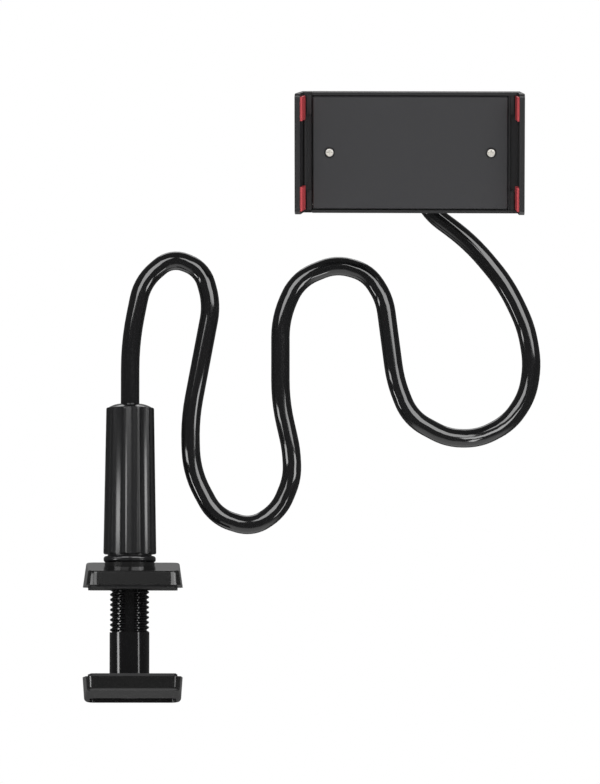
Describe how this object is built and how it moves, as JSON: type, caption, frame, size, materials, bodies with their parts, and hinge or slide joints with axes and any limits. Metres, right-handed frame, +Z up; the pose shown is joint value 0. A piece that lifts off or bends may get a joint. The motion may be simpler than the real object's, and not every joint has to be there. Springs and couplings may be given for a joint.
{
  "type": "phone gooseneck holder",
  "caption": "Phone holder with a sprung jaw on a bendable black gooseneck, with a screw clamp for a table edge.",
  "frame": {"origin": "on the clamp column's axis, in the plane of the lower pad's gripping face", "axes": "+Z up along the column, -Y out of the clamp's throat towards the user, +X to the right of a user who faces it"},
  "size_m": [0.2288, 0.1045, 0.2986],
  "materials": {
    "moulded_black": "fine moulded texture",
    "column_black": "smooth moulded",
    "handle_black": "satin moulded",
    "pad_rubber": "matte",
    "sleeve_black": "smooth glossy sleeve",
    "core_aluminium": "drawn rod",
    "screw_steel": "nickel plated",
    "screw_black": "blackened",
    "spring_steel": "drawn wire",
    "ball_steel": "polished",
    "panel_grey": "fine moulded texture",
    "grip_red": "satin silicone"
  },
  "bodies": {
    "clamp_and_neck": {"lower_jaw": "moulded_black", "lower_jaw_pad": "pad_rubber", "clamp_column": "column_black", "column_screw": "screw_black", "neck_core": "core_aluminium", "neck_sleeve": "sleeve_black", "neck_pin": "screw_steel", "neck_ferrule": "column_black"},
    "upper_jaw": {"upper_jaw": "moulded_black", "upper_jaw_pad": "pad_rubber", "key_plate": "moulded_black", "key_plate_screws": "screw_steel"},
    "handle": {"handle": "handle_black", "handle_cap": "handle_black"},
    "ball_stud": {"ball_stud": "ball_steel"},
    "lock_nut": {"lock_nut": "moulded_black"},
    "head": {"head_tray": "moulded_black", "ball_socket": "moulded_black", "socket_screws": "screw_steel", "front_panel": "panel_grey", "panel_screws": "screw_steel", "grip_right_upper": "grip_red", "grip_right_lower": "grip_red", "jaw_spring_upper": "spring_steel", "jaw_spring_lower": "spring_steel"},
    "sliding_jaw": {"sliding_jaw": "moulded_black", "grip_left_upper": "grip_red", "grip_left_lower": "grip_red"}
  },
  "joints": [
    {"name": "clamp_slide", "type": "slide", "parent": "clamp_and_neck", "child": "upper_jaw", "axis": [0, 0, 1], "range_m": [-0.036, 0.022]},
    {"name": "handle_turn", "type": "hinge", "parent": "upper_jaw", "child": "handle", "pos_m": [0, 0, 0.09], "axis": [0, 0, 1], "range_deg": [-5185, 3169]},
    {"name": "head_swivel", "type": "hinge", "parent": "clamp_and_neck", "child": "ball_stud", "pos_m": [0.13781, -0.04771, 0.25734], "axis": [-0.0949, -0.9857, 0.1392], "range_deg": [-180, 180]},
    {"name": "head_tilt", "type": "hinge", "parent": "ball_stud", "child": "lock_nut", "pos_m": [0.13781, -0.04771, 0.25734], "axis": [0.9955, -0.0942, -0.0086], "range_deg": [-58, 20]},
    {"name": "head_roll", "type": "hinge", "parent": "lock_nut", "child": "head", "pos_m": [0.13781, -0.04771, 0.25734], "axis": [-0.0941, -0.9771, -0.1908], "range_deg": [-180, 180]},
    {"name": "jaw_slide", "type": "slide", "parent": "head", "child": "sliding_jaw", "axis": [-0.9955, 0.0942, 0.0086], "range_m": [0, 0.062], "stiffness_N_per_m": 80, "springref_m": -0.04, "deforming": ["jaw_spring_upper", "jaw_spring_lower"]}
  ],
  "couplings": [
    {"joint": "handle_turn", "follows": "clamp_slide", "rad_per_m": 2513.3}
  ]
}
